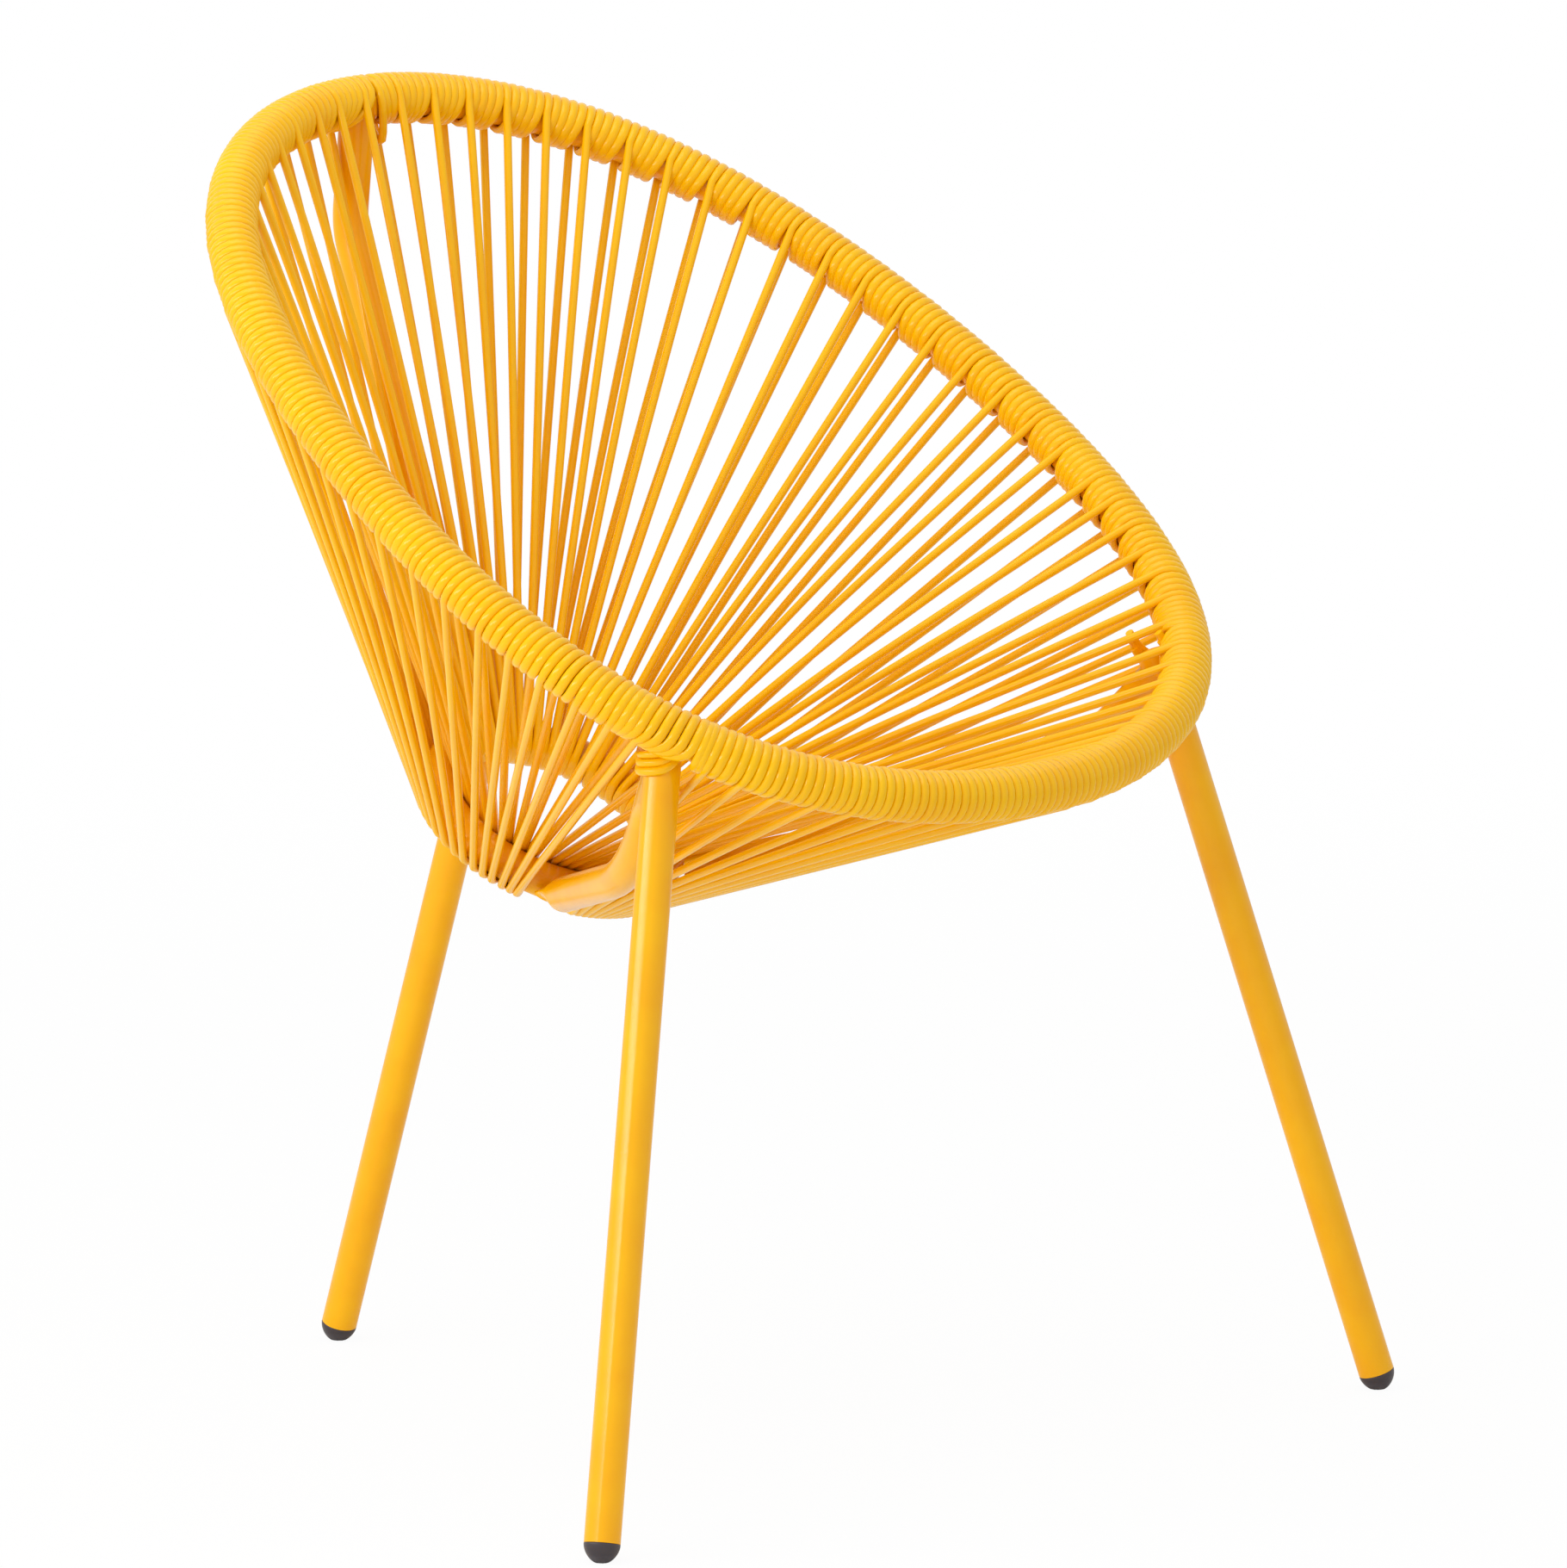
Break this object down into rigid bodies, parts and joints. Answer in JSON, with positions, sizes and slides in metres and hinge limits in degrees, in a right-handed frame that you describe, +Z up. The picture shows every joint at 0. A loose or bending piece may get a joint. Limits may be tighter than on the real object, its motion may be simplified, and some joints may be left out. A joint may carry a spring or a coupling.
{
  "type": "strung lounge chair",
  "caption": "Round lounge chair: a wrapped egg-shaped tube rim strung with cord down to a small seat ring, on splayed tube legs.",
  "frame": {"origin": "centre of the bounding box's footprint, on the floor the three feet stand on", "axes": "+Z up, -Y towards the front of the seat, +X to the chair's right as seen from the front; mirror symmetric across X"},
  "size_m": [0.6934, 0.6262, 0.7968],
  "materials": {
    "powder_coated_tube": "semi-gloss yellow powder coat",
    "vinyl_cord": "glossy yellow vinyl cord",
    "foot_cap_rubber": "satin black"
  },
  "bodies": {
    "root": {"rim_tube": "powder_coated_tube", "seat_ring": "powder_coated_tube", "front_left_leg": "powder_coated_tube", "front_left_brace": "powder_coated_tube", "front_right_leg": "powder_coated_tube", "front_right_brace": "powder_coated_tube", "rear_leg": "powder_coated_tube", "back_upright": "powder_coated_tube", "front_left_foot_cap": "foot_cap_rubber", "front_right_foot_cap": "foot_cap_rubber", "rear_foot_cap": "foot_cap_rubber", "seat_cord_right_1": "vinyl_cord", "seat_cord_right_2": "vinyl_cord", "seat_cord_right_3": "vinyl_cord", "seat_cord_right_4": "vinyl_cord", "seat_cord_right_5": "vinyl_cord", "seat_cord_left_1": "vinyl_cord", "seat_cord_left_2": "vinyl_cord", "seat_cord_left_3": "vinyl_cord", "seat_cord_left_4": "vinyl_cord", "seat_cord_left_5": "vinyl_cord", "seat_cord_front_right_1": "vinyl_cord", "seat_cord_front_right_2": "vinyl_cord", "seat_cord_front_left_1": "vinyl_cord", "seat_cord_front_left_2": "vinyl_cord"}
  },
  "joints": []
}
